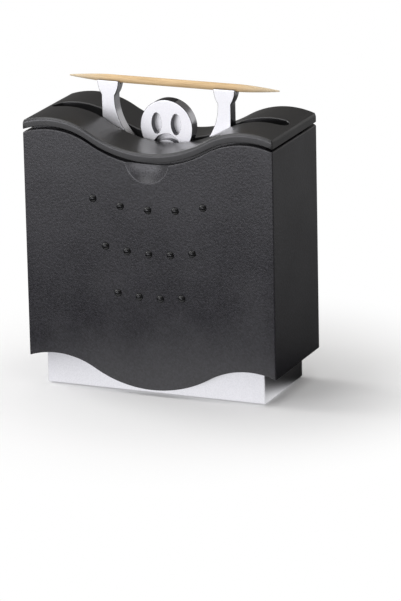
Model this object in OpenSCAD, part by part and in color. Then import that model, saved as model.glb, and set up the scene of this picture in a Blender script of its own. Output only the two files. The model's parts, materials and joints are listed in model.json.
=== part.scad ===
// Toothpick holder with a weightlifter.
// A black sleeve slides up and down over a silver base. A flat metal figure stands
// on the base and comes up through a slot in the wavy lid with one toothpick on its hands.
// X runs along the front, +Y points to the back, +Z up. The floor is z = 0, and every
// piece is drawn with the sleeve down and the figure up.

/* [Sleeve] */
// Width of the sleeve
sleeve_w = 77; // [74:0.5:90]
// Depth of the sleeve, front to back
sleeve_d = 34; // [33:0.5:42]
// Wall thickness of the sleeve
sleeve_wall = 2.2; // [1.8:0.1:2.8]
// Height of the sleeve in the middle, from its lower wave to its upper wave
sleeve_h = 66.7; // [60:0.1:80]
// Gap under the sleeve at its lowest point
floor_gap = 1.9; // [1.4:0.1:3]

/* [Wave] */
// Distance from the middle to each crest
crest_x = 30.2; // [29:0.1:33]
// Height of the crests above the trough
wave_h = 8.3; // [6:0.1:9.5]
// Radius of the trough
trough_r = 35; // [32:0.5:42]

/* [Lid] */
// Thickness of the lid
lid_t = 2.6; // [2:0.1:4]
// Dark gap between the sleeve and the lid
lid_gap = 0.8; // [0.5:0.1:1.4]
// Space in the slot in front of the figure
slot_front_gap = 0.4; // [0.3:0.1:1]
// Space in the slot behind the figure
slot_rear_gap = 1.4; // [0.8:0.1:2.5]
// Lid left at each end of the slot
slot_end_wall = 1.9; // [1.5:0.1:2.4]
// Thickness of the rim under the lid
rim_t = 1.2; // [1:0.1:2]

/* [Figure] */
// Thickness of the figure
figure_t = 3.8; // [3:0.1:4]
// Place of the figure's middle plane, front to back
figure_y = -0.4; // [-1:0.1:1]
// Radius of the head
head_r = 8.1; // [7:0.1:9]
// Height of the head's centre above the lid's trough
head_rise = 4.2; // [3.5:0.1:6]
// Radius of the round bay between the arms
bay_r = 16; // [15:0.1:17]
// Height of the bay's centre above the lid's trough
bay_rise = 11.7; // [10.2:0.1:12]
// Distance from the middle to the outside of each arm
arm_x = 20; // [19:0.1:20.4]
// Height of the palms above the lid's trough
hand_rise = 16.7; // [15.5:0.1:20]
// Height of each hand above its wrist
hand_h = 4.3; // [3.5:0.1:5]
// How far each palm reaches past the wrist on both sides
hand_flare = 1.3; // [0.8:0.1:1.8]
// Half width of the waist
waist_x = 10; // [8:0.5:11]
// Radius of the curve from the waist to the shoulders
waist_r = 14; // [11:0.5:15]

/* [Face] */
// Width of each eye
eye_w = 3.05; // [2.4:0.05:3.6]
// Height of each eye
eye_h = 6.1; // [5:0.1:6.8]
// Radius of the eye's round ends
eye_end_r = 0.9; // [0.5:0.05:1.1]
// Distance from the middle to each eye
eye_x = 3; // [2.6:0.1:3.8]
// Height of the eyes above the head's centre
eye_rise = 1.1; // [0:0.1:1.6]
// Depth of the eyes and the mouth
face_depth = 2.1; // [1:0.1:2.2]
// Radius of the arched mouth
mouth_r = 4.26; // [3.6:0.05:4.8]
// Height of the mouth at its middle
mouth_h = 1.7; // [1.6:0.1:2.6]
// Distance from the head's centre down to the top of the mouth
mouth_drop = 1.8; // [1.6:0.1:3]

/* [Toothpick] */
// Length of the toothpick
pick_l = 65; // [60:0.5:66]
// Diameter of the toothpick
pick_d = 2.2; // [1.8:0.1:2.4]
// Length of its pointed ends
pick_point_l = 12; // [6:0.5:18]
// Diameter of its tips
pick_tip_d = 0.4; // [0.2:0.1:0.8]
// How far it lies off the middle
pick_shift = 1.8; // [-2:0.1:2]
// Height of its axis above the palms
pick_rise = 0.3; // [0:0.05:0.6]

/* [Studs] */
// Diameter of the studs
stud_d = 2.3; // [1.8:0.1:3.2]
// How far the studs stand out
stud_h = 0.8; // [0.5:0.05:1]
// Number of studs in each row, from the top
stud_counts = [5, 5, 4];
// Spacing of the studs in each row
stud_pitches = [8.5, 6.7, 6.6];
// Distance between the rows
stud_row_gap = 13; // [10:0.5:16]
// Distance from the sleeve's upper edge to the top row
stud_drop = 13.1; // [11:0.1:20]
// Radius of the curve that each row follows
stud_row_r = 69; // [50:1:120]

/* [Finger scoop] */
// Radius of the scoop on the front face
scoop_r = 6.8; // [5:0.1:8]
// Depth of the scoop
scoop_depth = 1.6; // [1:0.1:1.7]
// Height of the scoop's centre above the sleeve's upper edge
scoop_rise = 1.5; // [0.5:0.1:2.5]

/* [Base] */
// How far the base's ends stand in from the sleeve's
base_inset = 4.5; // [4:0.1:6]
// Wall thickness of the base
base_wall = 1.6; // [1.2:0.1:1.8]
// Thickness of the base's top deck
deck_t = 1.6; // [1.2:0.1:2.4]
// Gap under the rim of the base
rim_lift = 0.4; // [0.2:0.1:0.8]
// Thickness of the plate that closes the base
plate_t = 2; // [1.8:0.1:3]
// Height of the ballast plate
ballast_h = 4; // [3:0.5:5]
// Space between the ballast plate's ends and the screw posts
ballast_end_gap = 4.2; // [1:0.1:9]
// Space between the ballast plate's sides and the base's walls
ballast_side_gap = 1.9; // [1:0.1:5]

/* [Feet] */
// Diameter of the rubber feet
foot_d = 7; // [5:0.5:8]
// How far the feet stand out below the plate
foot_h = 0.9; // [0.8:0.1:1.4]
// How deep the feet sit in the plate
foot_recess = 0.6; // [0.3:0.1:0.8]
// Distance from the plate's ends to the middle of the feet
foot_end_gap = 12.2; // [10:0.1:18]
// Distance from the plate's sides to the middle of the feet
foot_side_gap = 4.7; // [4.2:0.1:6.5]

/* [Hopper] */
// Wall thickness of the hopper
hopper_wall = 1.2; // [1:0.1:1.6]
// Thickness of the hopper's floor
hopper_floor_t = 1.5; // [1.2:0.1:2.2]
// Height of the hopper's upper lip
hopper_lip_h = 3; // [2.4:0.1:4]
// Distance from the sleeve's upper edge down to the hopper's
hopper_drop = 3.6; // [3:0.1:4.5]
// Space on each side of the figure in the hopper's gutter
gutter_gap = 0.5; // [0.4:0.05:0.6]
// Space at each end of the figure in the hopper's floor slot
floor_slot_gap = 1.2; // [0.8:0.1:1.6]
// Gap between the lifted hopper's floor and the toothpick above it
loading_gap = 0.4; // [0.3:0.1:0.6]

/* [Guides] */
// Diameter of the guide rods
rod_d = 4; // [3:0.1:4.4]
// Distance from the base's inner ends to the middle of the rods
rod_end_gap = 10.4; // [9.5:0.1:11.4]
// Distance from the base's inner sides to the middle of the rods
rod_side_gap = 4.9; // [4.6:0.1:5.4]
// How deep the rods sit in the hopper's bosses
rod_seat = 4; // [3:0.1:4.2]
// Wall thickness of the bushes
bush_wall = 1.4; // [1:0.1:1.6]
// Length of the bushes below the top of the deck
bush_l = 5; // [4:0.5:6]
// Thickness of the bush flanges
flange_t = 1; // [0.8:0.1:1.5]
// How far the flanges reach past the bushes
flange_reach = 1; // [0.6:0.1:1.4]
// Thickness of the stop washers
washer_t = 0.8; // [0.5:0.1:1]
// Diameter of the stop washers
washer_d = 8; // [7.2:0.1:8.4]
// Space left between the stop screws and the ballast plate
stop_gap = 4.7; // [2:0.1:8]
// Width of the side rails
rail_w = 20; // [10:1:24]
// Height of the rails' lower ends above the sleeve's lower edge
rail_lift = 3; // [1:0.5:6]

/* [Figure mount] */
// Height of the mount
mount_h = 10; // [9:0.5:14]
// Thickness of the mount in front of the figure and behind it
mount_wall = 2; // [1.5:0.1:2.1]
// Distance from the figure's tenon to the screws that hold the mount
mount_screw_gap = 3; // [2.7:0.1:3.2]
// Distance from these screws to the mount's ends
mount_end = 3; // [2.2:0.1:3.3]
// Distance from the middle to the screws that cross the figure
cross_screw_x = 6; // [4:0.5:6.5]

/* [Screws] */
// Diameter of every screw
screw_d = 2.5; // [2:0.1:2.6]
// Diameter of every screw head
head_d = 4.6; // [4:0.1:4.8]
// Height of the pan heads and nuts
head_h = 1.6; // [1.2:0.1:1.8]
// Thread length of the stop screws
stop_screw_l = 6; // [4:0.5:10]
// Thread length of the base and mount screws
short_screw_l = 7; // [5:0.5:8]
// Diameter of the screw posts in the base
post_d = 5; // [4.6:0.1:5.2]

/* [Clearances] */
// Sliding gap between the sleeve and the base
slide_gap = 0.3; // [0.2:0.05:0.4]
// Gap around pieces that drop into place
drop_gap = 0.2; // [0.1:0.05:0.3]
// Gap around pressed and glued pieces
seat_gap = 0.03; // [0.01:0.01:0.06]
// Running gap of the rods in their bushes
run_gap = 0.06; // [0.03:0.01:0.1]
// Gap around screw shanks
screw_gap = 0.1; // [0.05:0.05:0.2]

/* [Hidden] */
$fn = 64;
// Overshoot of every cut
cut = 1;

// Levels of the wavy edges at their trough
sleeve_top = floor_gap + sleeve_h;
lid_bottom = sleeve_top + lid_gap;
lid_top = lid_bottom + lid_t;
hopper_top = sleeve_top - hopper_drop;

// Two arcs make the wave, and they meet at turn_x, turn_h
crest_r = (crest_x * crest_x + wave_h * wave_h) / (2 * wave_h) - trough_r;
turn_x = crest_x * trough_r / (trough_r + crest_r);
turn_h = wave_h * trough_r / (trough_r + crest_r);

// Inside of the sleeve
inner_w = sleeve_w - 2 * sleeve_wall;
inner_d = sleeve_d - 2 * sleeve_wall;

// Figure and toothpick
head_z = lid_top + head_rise;
bay_z = lid_top + bay_rise;
hand_top = lid_top + hand_rise;
wrist_z = hand_top - hand_h;
wrist_in = sqrt(bay_r * bay_r - pow(wrist_z - bay_z, 2));
palm_x = arm_x + hand_flare;
palm_in = wrist_in - hand_flare;
lobe_r = (hand_h * hand_h + hand_flare * hand_flare) / (2 * hand_flare);
pick_r = pick_d / 2;
pick_z = hand_top + pick_rise;
groove_z = pick_z - (pick_r + seat_gap) * sqrt(2);

// The lifted hopper stops under the toothpick, and the lowered rods above the ballast
plate_top = foot_h + plate_t;
ballast_top = plate_top + ballast_h;
lifted_floor = pick_z - pick_r - loading_gap;
rod_stack = hopper_floor_t + flange_t + bush_l + washer_t + head_h + stop_gap;
sleeve_travel = (lifted_floor - rod_stack - ballast_top) / 2;

// Slot in the lid
slot_w = figure_t + slot_front_gap + slot_rear_gap;
slot_y = figure_y + (slot_rear_gap - slot_front_gap) / 2;

// Hopper
floor_z = lifted_floor - sleeve_travel;
hopper_bottom = floor_z - hopper_floor_t;
hopper_w = inner_w - 2 * drop_gap;
hopper_y = inner_d / 2 - drop_gap;
gutter_y = figure_t / 2 + gutter_gap;
floor_slot_x = palm_x + floor_slot_gap;

// Base
base_w = sleeve_w - 2 * base_inset;
base_d = inner_d - 2 * slide_gap;
base_in_w = base_w - 2 * base_wall;
base_in_d = base_d - 2 * base_wall;
deck_z = hopper_bottom - flange_t;
deck_under = deck_z - deck_t;
post_x = base_in_w / 2 - post_d / 2 - drop_gap;
post_y = base_in_d / 2 - post_d / 2 - drop_gap;
plate_w = base_in_w - 2 * drop_gap;
plate_d = base_in_d - 2 * drop_gap;
foot_x = plate_w / 2 - foot_end_gap;
foot_y = plate_d / 2 - foot_side_gap;

// Guides
rod_r = rod_d / 2;
rod_x = base_in_w / 2 - rod_end_gap;
rod_y = base_in_d / 2 - rod_side_gap;
bush_r = rod_r + run_gap + bush_wall;
bush_bottom = deck_z - bush_l;
rod_bottom = bush_bottom - sleeve_travel;
rod_top = hopper_bottom + rod_seat;
rail_t = base_inset - sleeve_wall - slide_gap;
rail_bottom = floor_gap + wave_at(sleeve_w / 2) + rail_lift;

// Figure mount
mount_bottom = deck_under - mount_h;
cross_screw_z = deck_under - mount_h / 2;
tenon_bottom = mount_bottom + drop_gap;
mount_w = figure_t + 2 * mount_wall;
mount_screw_x = waist_x + mount_screw_gap;
mount_x = mount_screw_x + mount_end;

screw_r = screw_d / 2;
screw_head_r = head_d / 2;

// Height of the wave above its trough at a distance from the middle
function wave_at(x) = abs(x) < turn_x
    ? trough_r - sqrt(trough_r * trough_r - x * x)
    : wave_h - crest_r + sqrt(max(0, crest_r * crest_r - pow(abs(x) - crest_x, 2)));

// Everything below a wave, as a flat shape in X and Z
module below_wave(level, half_w, low) {
    difference() {
        translate([-turn_x, low])
            square([2 * turn_x, level + turn_h - low]);
        translate([0, level + trough_r])
            circle(r = trough_r, $fn = 128);
    }
    for (side = [-1, 1])
        intersection() {
            translate([side > 0 ? turn_x : -half_w, low])
                square([half_w - turn_x, level + wave_h + cut - low]);
            union() {
                translate([side * crest_x, level + wave_h - crest_r])
                    circle(r = crest_r, $fn = 128);
                translate([side > 0 ? turn_x : -half_w, low])
                    square([half_w - turn_x, level + wave_h - crest_r - low]);
            }
        }
}

// Extrude a flat X and Z shape along Y, about the middle
module along_y(length) {
    rotate([90, 0, 0])
        linear_extrude(height = length, center = true)
            children();
}

// Extrude a flat Y and Z shape along X, about the middle
module along_x(length) {
    rotate([90, 0, 90])
        linear_extrude(height = length, center = true)
            children();
}

// A box given by its middle in X and Y, its sizes and its lower and upper level
module block(w, d, z0, z1, x = 0, y = 0) {
    translate([x - w / 2, y - d / 2, z0])
        cube([w, d, z1 - z0]);
}

// An upright cylinder between two levels
module rod(r, z0, z1, x = 0, y = 0) {
    translate([x, y, z0])
        cylinder(r = r, h = z1 - z0);
}

// A body between two waves, with straight sides
module wave_body(w, d, low_level, high_level) {
    along_y(d)
        difference() {
            below_wave(high_level, w / 2, low_level - trough_r);
            below_wave(low_level, w / 2 + cut, low_level - 2 * trough_r);
        }
}

// Four copies, one in each corner
module corners(x, y) {
    for (sx = [-1, 1], sy = [-1, 1])
        translate([sx * x, sy * y, 0])
            children();
}

// The two guides stand in opposite corners
module guide_places() {
    for (side = [-1, 1])
        translate([side * rod_x, -side * rod_y, 0])
            children();
}

// A screw that points down from its countersunk head at the level z
module sunk_screw(z, length) {
    translate([0, 0, z - (screw_head_r - screw_r)])
        cylinder(r1 = screw_r, r2 = screw_head_r, h = screw_head_r - screw_r);
    rod(screw_r, z - length, z - (screw_head_r - screw_r));
}

// The hole for such a screw
module sunk_hole(z, length) {
    translate([0, 0, z - (screw_head_r - screw_r)])
        cylinder(r1 = screw_r + screw_gap, r2 = screw_head_r + screw_gap, h = screw_head_r - screw_r);
    rod(screw_head_r + screw_gap, z, z + cut);
    rod(screw_r + screw_gap, z - length - screw_gap, z);
}

// An upright oval of four arcs
module oval(w, h, end_r) {
    a = w / 2;
    b = h / 2;
    side_r = (a * a + (b - end_r) * (b - end_r) - end_r * end_r) / (2 * (a - end_r));
    join_y = (b - end_r) * side_r / (side_r - end_r);
    intersection() {
        translate([side_r - a, 0])
            circle(r = side_r);
        translate([a - side_r, 0])
            circle(r = side_r);
        translate([-a, -join_y])
            square([w, 2 * join_y]);
    }
    for (side = [-1, 1])
        translate([0, side * (b - end_r)])
            circle(r = end_r);
}

// Deep silver box that the sleeve slides on, open below
module base_shell() {
    color("gainsboro")
        difference() {
            union() {
                difference() {
                    block(base_w, base_d, rim_lift, deck_z);
                    block(base_in_w, base_in_d, rim_lift - cut, deck_under);
                }
                corners(post_x, post_y)
                    rod(post_d / 2, plate_top, deck_under + cut / 2);
            }
            corners(post_x, post_y)
                rod(screw_r + screw_gap, plate_top - cut, foot_h + short_screw_l + cut);
            guide_places()
                rod(bush_r + seat_gap, deck_under - cut, deck_z + cut);
            block(2 * waist_x + 2 * drop_gap, figure_t + 2 * drop_gap, deck_under - cut,
                  deck_z + cut, 0, figure_y);
            for (side = [-1, 1])
                translate([side * mount_screw_x, figure_y, 0])
                    sunk_hole(deck_z, deck_t + cut);
        }
}

// Plate that closes the base
module base_plate() {
    color("dimgray")
        difference() {
            block(plate_w, plate_d, foot_h, plate_top);
            corners(post_x, post_y)
                mirror([0, 0, 1])
                    sunk_hole(-foot_h, plate_t + cut);
            corners(foot_x, foot_y)
                rod(foot_d / 2 + seat_gap, foot_h - cut, foot_h + foot_recess);
        }
}

// Four countersunk screws from below
module base_screws() {
    color("silver")
        corners(post_x, post_y)
            mirror([0, 0, 1])
                sunk_screw(-foot_h, short_screw_l);
}

// Steel plate that gives the holder its weight
module ballast_plate() {
    color("slategray")
        block(2 * (post_x - post_d / 2 - ballast_end_gap), base_in_d - 2 * ballast_side_gap,
              plate_top, ballast_top);
}

// Four rubber feet
module rubber_feet() {
    color([0.12, 0.12, 0.12])
        corners(foot_x, foot_y)
            rod(foot_d / 2, 0, foot_h + foot_recess);
}

// Two flanged plastic bushes in the deck
module guide_bushes() {
    color("ivory")
        guide_places()
            difference() {
                union() {
                    rod(bush_r, bush_bottom, deck_z);
                    rod(bush_r + flange_reach, deck_z, deck_z + flange_t);
                }
                rod(rod_r + run_gap, bush_bottom - cut, deck_z + flange_t + cut);
            }
}

// Hand with two rounded sides that meet the arm in a sharp notch at the wrist
module hand_outline() {
    intersection() {
        translate([palm_x - lobe_r, hand_top])
            circle(r = lobe_r);
        translate([palm_in + lobe_r, hand_top])
            circle(r = lobe_r);
        translate([palm_in, wrist_z - hand_flare])
            square([palm_x - palm_in, hand_h + hand_flare]);
    }
}

// Outline of the figure with its head
module figure_outline() {
    difference() {
        union() {
            translate([-arm_x, deck_z])
                square([2 * arm_x, wrist_z - deck_z]);
            translate([-waist_x, tenon_bottom])
                square([2 * waist_x, wrist_z - tenon_bottom]);
        }
        for (side = [-1, 1])
            translate([side * (waist_x + waist_r), deck_z])
                circle(r = waist_r);
        translate([0, bay_z])
            circle(r = bay_r);
    }
    hand_outline();
    mirror([1, 0])
        hand_outline();
    translate([0, head_z])
        circle(r = head_r);
    translate([-head_r / 3, bay_z - bay_r - cut])
        square([2 * head_r / 3, head_z - bay_z + bay_r]);
}

// Eyes and arched mouth, sunk into the face
module face_shapes() {
    for (side = [-1, 1])
        translate([side * eye_x, head_z + eye_rise])
            oval(eye_w, eye_h, eye_end_r);
    mouth_z = head_z - mouth_drop - mouth_r;
    difference() {
        intersection() {
            translate([0, mouth_z])
                circle(r = mouth_r);
            translate([-mouth_r, mouth_z])
                square([2 * mouth_r, mouth_r]);
        }
        translate([0, mouth_z - mouth_h])
            circle(r = mouth_r);
    }
}

// Flat metal weightlifter
module figure() {
    color("silver")
        difference() {
            translate([0, figure_y, 0])
                along_y(figure_t)
                    figure_outline();
            translate([0, figure_y - figure_t / 2 + face_depth / 2 - cut / 2, 0])
                along_y(face_depth + cut)
                    face_shapes();
            translate([0, figure_y, groove_z])
                along_x(2 * palm_x + 2 * cut)
                    polygon([[0, 0], [figure_t, figure_t], [-figure_t, figure_t]]);
            cross_holes();
        }
}

// Holes for the two screws that cross the mount and the figure
module cross_holes() {
    for (side = [-1, 1])
        translate([side * cross_screw_x, figure_y, cross_screw_z])
            rotate([90, 0, 0])
                cylinder(r = screw_r + screw_gap, h = mount_w + 2 * cut, center = true);
}

// Block under the deck that holds the figure upright
module figure_mount() {
    color("lightslategray")
        difference() {
            block(2 * mount_x, mount_w, mount_bottom, deck_under, 0, figure_y);
            block(2 * waist_x + 2 * drop_gap, figure_t + 2 * seat_gap, tenon_bottom - seat_gap,
                  deck_under + cut, 0, figure_y);
            cross_holes();
            for (side = [-1, 1])
                translate([side * mount_screw_x, figure_y, 0])
                    rod(screw_r + screw_gap, deck_z - short_screw_l - cut, deck_under + cut);
        }
}

// Two countersunk screws from the deck into the mount
module mount_screws() {
    color("silver")
        for (side = [-1, 1])
            translate([side * mount_screw_x, figure_y, 0])
                sunk_screw(deck_z, short_screw_l);
}

// Two pan-head screws across the mount and the figure
module figure_screws() {
    color("silver")
        for (side = [-1, 1])
            translate([side * cross_screw_x, figure_y - mount_w / 2, cross_screw_z])
                rotate([-90, 0, 0]) {
                    cylinder(r = screw_r, h = mount_w + head_h + drop_gap);
                    translate([0, 0, -head_h])
                        cylinder(r = screw_head_r, h = head_h);
                }
}

// Their two hexagon nuts
module figure_nuts() {
    color("silver")
        for (side = [-1, 1])
            translate([side * cross_screw_x, figure_y + mount_w / 2, cross_screw_z])
                rotate([-90, 0, 0])
                    difference() {
                        cylinder(r = screw_head_r, h = head_h, $fn = 6);
                        translate([0, 0, -cut])
                            cylinder(r = screw_r + seat_gap, h = head_h + 2 * cut);
                    }
}

// Places of the front studs on the front face
module stud_places() {
    for (row = [0 : len(stud_counts) - 1], i = [0 : stud_counts[row] - 1]) {
        x = (i - (stud_counts[row] - 1) / 2) * stud_pitches[row];
        z = sleeve_top - stud_drop - row * stud_row_gap + stud_row_r
            - sqrt(stud_row_r * stud_row_r - x * x);
        translate([x, -sleeve_d / 2, z])
            rotate([90, 0, 0])
                children();
    }
}

// Black sleeve with wavy edges, open above and below
module sleeve_shell() {
    ball_r = (scoop_r * scoop_r + scoop_depth * scoop_depth) / (2 * scoop_depth);
    color([0.17, 0.17, 0.18])
        difference() {
            wave_body(sleeve_w, sleeve_d, floor_gap, sleeve_top);
            block(inner_w, inner_d, floor_gap - cut, sleeve_top + wave_h + cut);
            translate([0, -sleeve_d / 2 - ball_r + scoop_depth, sleeve_top + scoop_rise])
                sphere(r = ball_r, $fn = 96);
            stud_places()
                translate([0, 0, -sleeve_wall / 2 - seat_gap])
                    cylinder(r = stud_d / 4 + seat_gap, h = sleeve_wall);
        }
}

// Small domed studs on short stems, set in the front wall
module front_studs() {
    dome_r = (stud_d * stud_d / 4 + stud_h * stud_h) / (2 * stud_h);
    color([0.1, 0.1, 0.11])
        stud_places() {
            intersection() {
                translate([0, 0, stud_h - dome_r])
                    sphere(r = dome_r);
                cylinder(r = stud_d, h = stud_h + cut);
            }
            translate([0, 0, -sleeve_wall / 2])
                cylinder(r = stud_d / 4, h = sleeve_wall / 2 + stud_h / 2);
        }
}

// Trough with sloping sides that holds the spare toothpicks
module hopper() {
    inner_y = hopper_y - hopper_wall;
    color([0.2, 0.2, 0.21])
        difference() {
            union() {
                along_x(hopper_w)
                    polygon([[-hopper_y, hopper_top], [-hopper_y, hopper_top - hopper_lip_h],
                             [figure_y - gutter_y - hopper_wall, hopper_bottom],
                             [figure_y + gutter_y + hopper_wall, hopper_bottom],
                             [hopper_y, hopper_top - hopper_lip_h], [hopper_y, hopper_top]]);
                guide_places()
                    rod(rod_r + bush_wall, hopper_bottom, hopper_top - hopper_lip_h);
            }
            along_x(hopper_w - 2 * hopper_wall)
                polygon([[-inner_y, hopper_top + cut], [-inner_y, hopper_top],
                         [figure_y - gutter_y, floor_z], [figure_y + gutter_y, floor_z],
                         [inner_y, hopper_top], [inner_y, hopper_top + cut]]);
            block(2 * floor_slot_x, 2 * gutter_y, hopper_bottom - cut, floor_z + cut, 0, figure_y);
            guide_places()
                rod(rod_r + seat_gap, hopper_bottom - cut, rod_top + seat_gap);
        }
}

// Two rails that fill the space between the sleeve's end walls and the base
module side_rails() {
    color([0.25, 0.25, 0.26])
        for (side = [-1, 1])
            block(rail_t, rail_w, rail_bottom, hopper_bottom, side * (inner_w - rail_t) / 2, 0);
}

// Two steel rods from the hopper down through the bushes
module guide_rods() {
    color("lightsteelblue")
        guide_places()
            difference() {
                rod(rod_r, rod_bottom, rod_top);
                rod(screw_r + seat_gap, rod_bottom - cut, rod_bottom + stop_screw_l + cut);
            }
}

// Two washers that stop the sleeve at the top of its travel
module stop_washers() {
    color("silver")
        guide_places()
            difference() {
                rod(washer_d / 2, rod_bottom - washer_t, rod_bottom);
                rod(screw_r + screw_gap, rod_bottom - washer_t - cut, rod_bottom + cut);
            }
}

// Two screws that hold the washers on the rods
module stop_screws() {
    color("silver")
        guide_places() {
            rod(screw_r, rod_bottom - washer_t - head_h / 2, rod_bottom + stop_screw_l);
            rod(screw_head_r, rod_bottom - washer_t - head_h, rod_bottom - washer_t);
        }
}

// Lift-off lid with the long slot and a rim that drops into the sleeve
module lid() {
    slot_x = sleeve_w / 2 - slot_end_wall;
    color([0.17, 0.17, 0.18])
        difference() {
            union() {
                wave_body(sleeve_w, sleeve_d, lid_bottom, lid_top);
                difference() {
                    along_y(2 * hopper_y)
                        intersection() {
                            below_wave(lid_bottom + lid_t / 2, hopper_w / 2, lid_bottom - 2 * trough_r);
                            translate([-hopper_w / 2, hopper_top])
                                square([hopper_w, lid_top + wave_h - hopper_top]);
                        }
                    block(hopper_w - 2 * rim_t, 2 * hopper_y - 2 * rim_t, hopper_top - cut,
                          lid_top + wave_h);
                }
            }
            for (side = [-1, 1])
                rod(slot_w / 2, hopper_top - cut, lid_top + wave_h + cut,
                    side * (slot_x - slot_w / 2), slot_y);
            block(2 * slot_x - slot_w, slot_w, hopper_top - cut, lid_top + wave_h + cut, 0, slot_y);
        }
}

// Wooden toothpick in the grooves of the hands
module toothpick() {
    body_l = pick_l - 2 * pick_point_l;
    color("burlywood")
        translate([pick_shift - pick_l / 2, figure_y, pick_z])
            rotate([0, 90, 0])
                rotate_extrude($fn = 48)
                    polygon([[0, 0], [pick_tip_d / 2, 0], [pick_r, pick_point_l],
                             [pick_r, pick_point_l + body_l], [pick_tip_d / 2, pick_l],
                             [0, pick_l]]);
}

base_shell();
base_plate();
base_screws();
ballast_plate();
rubber_feet();
guide_bushes();
figure();
figure_mount();
mount_screws();
figure_screws();
figure_nuts();
sleeve_shell();
front_studs();
hopper();
side_rails();
guide_rods();
stop_washers();
stop_screws();
lid();
toothpick();
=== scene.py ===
# %% [markdown]
# # A toothpick holder with a lifting figure
# The holder is a black moulded box that slides up and down on a silver base.
# A flat metal figure is fixed to the base, and it rises through a slot in the wavy lid with one toothpick
# on its hands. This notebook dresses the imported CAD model: it gives the pieces their fine edges and their
# surfaces, sets them on a white studio floor and looks at them from the angle of the photograph.

import json
import math

import bmesh
import bpy
from mathutils import Matrix, Vector


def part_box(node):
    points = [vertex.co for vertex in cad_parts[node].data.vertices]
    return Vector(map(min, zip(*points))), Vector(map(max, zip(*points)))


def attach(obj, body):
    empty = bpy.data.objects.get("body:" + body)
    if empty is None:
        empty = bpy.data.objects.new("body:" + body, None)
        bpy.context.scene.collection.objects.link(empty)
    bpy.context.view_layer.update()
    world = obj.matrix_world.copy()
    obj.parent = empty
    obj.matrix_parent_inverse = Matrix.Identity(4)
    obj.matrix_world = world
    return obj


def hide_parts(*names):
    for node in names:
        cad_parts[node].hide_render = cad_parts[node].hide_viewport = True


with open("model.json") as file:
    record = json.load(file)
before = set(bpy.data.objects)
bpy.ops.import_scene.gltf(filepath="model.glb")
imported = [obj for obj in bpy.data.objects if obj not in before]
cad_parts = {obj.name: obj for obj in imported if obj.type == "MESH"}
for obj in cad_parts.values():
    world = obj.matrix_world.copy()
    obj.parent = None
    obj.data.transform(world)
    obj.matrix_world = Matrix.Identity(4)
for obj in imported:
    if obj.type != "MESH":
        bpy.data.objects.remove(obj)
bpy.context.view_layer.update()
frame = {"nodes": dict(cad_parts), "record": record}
MM = 0.001

# %% [markdown]
# ## Camera
# The photograph was taken from the right and a little above, with a long lens that keeps the box's edges
# nearly parallel. A camera could be placed by eye. This one was solved from the corners and edges of the box
# instead, so the outline of every piece falls where the photograph has it.

# %% Camera at the photograph's angle
AZIMUTH, ELEVATION, ROLL = math.radians(23.109), math.radians(16.417), math.radians(-1.249)
DISTANCE = 1281.18 * MM
TARGET = Vector((7.159, 3.055, 23.876)) * MM
PICTURE_HEIGHT, FOCAL_LENGTH = 601, 4427.0  # both in pixels
SENSOR = 36.0

reach = math.cos(ELEVATION)
back = Vector((math.sin(AZIMUTH) * reach, -math.cos(AZIMUTH) * reach, math.sin(ELEVATION)))
level_right = Vector((math.cos(AZIMUTH), math.sin(AZIMUTH), 0))
level_up = back.cross(level_right)
right = math.cos(ROLL) * level_right + math.sin(ROLL) * level_up
up = math.cos(ROLL) * level_up - math.sin(ROLL) * level_right

lens = bpy.data.cameras.new("camera")
lens.sensor_width = SENSOR
lens.lens = FOCAL_LENGTH * SENSOR / PICTURE_HEIGHT
camera = bpy.data.objects.new("camera", lens)
turned_to_view = Matrix((right, up, back)).transposed().to_4x4()
camera.matrix_world = Matrix.Translation(TARGET + DISTANCE * back) @ turned_to_view
bpy.context.scene.collection.objects.link(camera)
bpy.context.scene.camera = camera
print("lens in mm", round(lens.lens, 1), "camera at", [round(c, 3) for c in camera.location])

# %% [markdown]
# ## Colours and nodes
# Colours are written the way a paint chart gives them, as sRGB hex values, and one function turns them to the
# linear values that light works with. Every material below is a small net of nodes, so one function adds a
# node with its settings and its links, and a few more build the nets that several materials share.

# %% Colour and node helpers
def linear(code):
    """An sRGB hex value such as #8A8A8C as linear red, green, blue and alpha."""
    parts = [int(code[i:i + 2], 16) / 255 for i in (1, 3, 5)]
    return [p / 12.92 if p <= 0.04045 else ((p + 0.055) / 1.055) ** 2.4 for p in parts] + [1.0]


def connect(tree, node, links):
    """Link a node's inputs, by name, to the outputs that feed them."""
    for key, source in links.items():
        tree.links.new(source, node.inputs[key])


def add(tree, kind, settings=None, links=None):
    """A new node. settings name its inputs or properties, and links name its inputs and what feeds them."""
    made = tree.nodes.new(kind)
    for key, value in (settings or {}).items():
        if isinstance(key, int) or key in made.inputs:
            made.inputs[key].default_value = value
        else:
            setattr(made, key, value)
    connect(tree, made, links or {})
    return made


def new_material(name):
    """A material with its node tree and its Principled shader."""
    made = bpy.data.materials.new(name)
    made.use_nodes = True
    return made, made.node_tree, made.node_tree.nodes["Principled BSDF"]


def noise(tree, vector, width, detail, roughness=0.5):
    """Noise with spots that are about width millimetres wide."""
    settings = {"Scale": 1 / (width * MM), "Detail": detail, "Roughness": roughness}
    return add(tree, "ShaderNodeTexNoise", settings, {"Vector": vector}).outputs["Fac"]


def two_tone(tree, source, dark, light, low=0.35, high=0.65):
    """Colour that goes from dark to light as a pattern's value goes from low to high."""
    ramp = add(tree, "ShaderNodeValToRGB", links={"Fac": source})
    first, last = ramp.color_ramp.elements
    first.position, last.position = low, high
    first.color, last.color = linear(dark), linear(light)
    return ramp.outputs["Color"]


def share_between(tree, source, low, high):
    """A share that is 0 up to low and 1 from high on."""
    ends = {"From Min": low, "From Max": high}
    return add(tree, "ShaderNodeMapRange", ends, {"Value": source}).outputs["Result"]


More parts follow.
